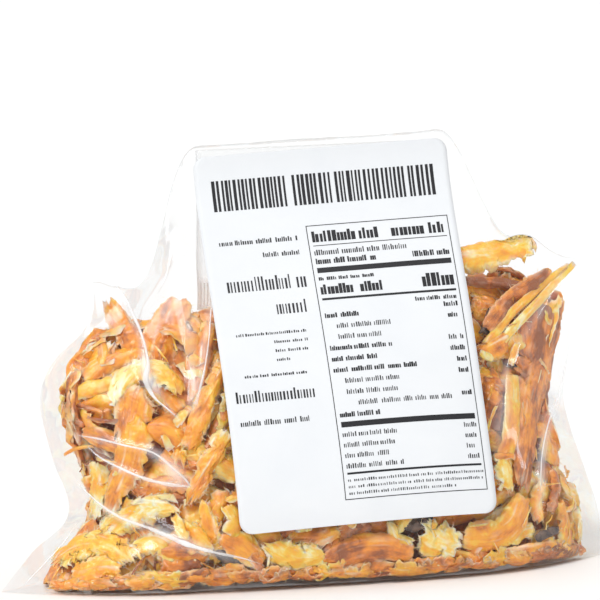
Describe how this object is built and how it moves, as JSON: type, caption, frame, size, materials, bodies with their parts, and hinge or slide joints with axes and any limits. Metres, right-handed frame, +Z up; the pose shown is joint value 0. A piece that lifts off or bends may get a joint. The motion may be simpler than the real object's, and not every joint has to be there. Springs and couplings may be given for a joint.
{
  "type": "sealed clear bag of dried cod bits",
  "caption": "Sealed clear film bag, about two thirds full of dried cod bits, standing on its flat base, with a big white paper label on its front.",
  "frame": {"origin": "centre of the box round the pack, on the surface it stands on", "axes": "+X along the pack's width, to the right of someone who looks at the label; +Y from the label's face to the back; +Z up"},
  "size_m": [0.24, 0.0944, 0.1729],
  "materials": {
    "film": "thin clear glossy film, creased",
    "dried_fish": "golden brown, fibrous, waxy and slightly translucent",
    "fish_skin": "dark dried skin, satin",
    "label_paper": "smooth white label paper",
    "print": "flat black print"
  },
  "bodies": {
    "root": {"bag": "film", "label": "label_paper"}
  },
  "joints": []
}
